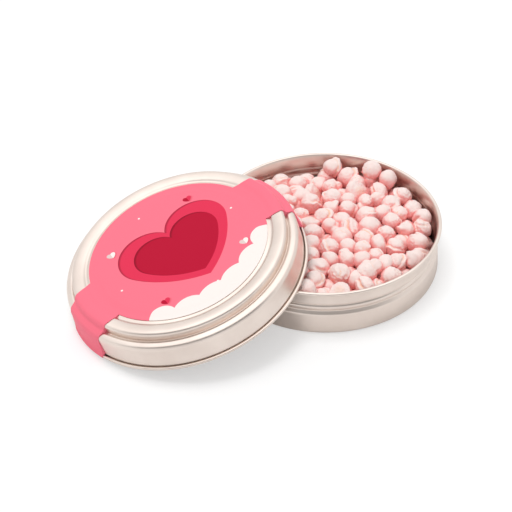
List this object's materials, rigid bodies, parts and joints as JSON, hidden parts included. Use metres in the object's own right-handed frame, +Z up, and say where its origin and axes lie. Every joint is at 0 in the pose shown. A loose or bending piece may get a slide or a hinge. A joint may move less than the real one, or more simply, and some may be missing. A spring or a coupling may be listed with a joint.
{
  "type": "caviar tin",
  "caption": "Round slip-lid tinplate tin, open, full of sugar-coated sweets, its lid leaning on the rim under a die-cut paper seal label.",
  "frame": {"origin": "centre of the underside of the base's foot, on the table", "axes": "+Z up along the base's axis, -Y towards the picture's camera, +X to its right; the lid stands off towards -X and -Y"},
  "size_m": [0.1811, 0.1418, 0.0471],
  "materials": {
    "tinplate": "satin tinplate with a fine rolled grain",
    "printed_paper": "matt coated paper, printed",
    "pink_sugar": "dusty sugar coating"
  },
  "bodies": {
    "base": {"base_tin": "tinplate", "sweets_bed": "pink_sugar", "loose_sweet_01": "pink_sugar", "loose_sweet_02": "pink_sugar", "loose_sweet_03": "pink_sugar", "loose_sweet_04": "pink_sugar", "loose_sweet_05": "pink_sugar", "loose_sweet_06": "pink_sugar", "loose_sweet_07": "pink_sugar", "loose_sweet_08": "pink_sugar", "loose_sweet_09": "pink_sugar", "loose_sweet_10": "pink_sugar", "loose_sweet_11": "pink_sugar", "loose_sweet_12": "pink_sugar", "loose_sweet_13": "pink_sugar", "loose_sweet_14": "pink_sugar", "loose_sweet_15": "pink_sugar", "loose_sweet_16": "pink_sugar", "loose_sweet_17": "pink_sugar", "loose_sweet_18": "pink_sugar", "loose_sweet_19": "pink_sugar", "loose_sweet_20": "pink_sugar", "loose_sweet_21": "pink_sugar", "loose_sweet_22": "pink_sugar", "loose_sweet_23": "pink_sugar", "loose_sweet_24": "pink_sugar", "loose_sweet_25": "pink_sugar", "loose_sweet_26": "pink_sugar", "loose_sweet_27": "pink_sugar", "loose_sweet_28": "pink_sugar", "loose_sweet_29": "pink_sugar", "loose_sweet_30": "pink_sugar", "loose_sweet_31": "pink_sugar", "loose_sweet_32": "pink_sugar", "loose_sweet_33": "pink_sugar", "loose_sweet_34": "pink_sugar", "loose_sweet_35": "pink_sugar", "loose_sweet_36": "pink_sugar", "loose_sweet_37": "pink_sugar", "loose_sweet_38": "pink_sugar", "loose_sweet_39": "pink_sugar", "loose_sweet_40": "pink_sugar", "loose_sweet_41": "pink_sugar", "loose_sweet_42": "pink_sugar", "loose_sweet_43": "pink_sugar", "loose_sweet_44": "pink_sugar", "loose_sweet_45": "pink_sugar", "loose_sweet_46": "pink_sugar", "loose_sweet_47": "pink_sugar", "loose_sweet_48": "pink_sugar", "loose_sweet_49": "pink_sugar", "loose_sweet_50": "pink_sugar", "loose_sweet_51": "pink_sugar", "loose_sweet_52": "pink_sugar", "loose_sweet_53": "pink_sugar", "loose_sweet_54": "pink_sugar", "loose_sweet_55": "pink_sugar", "loose_sweet_56": "pink_sugar"},
    "lid": {"lid": "tinplate", "seal_label": "printed_paper"}
  },
  "joints": [
    {"name": "lid_lift", "type": "slide", "parent": "base", "child": "lid", "axis": [0, 0, 1], "range_m": [0, 0.1]}
  ]
}
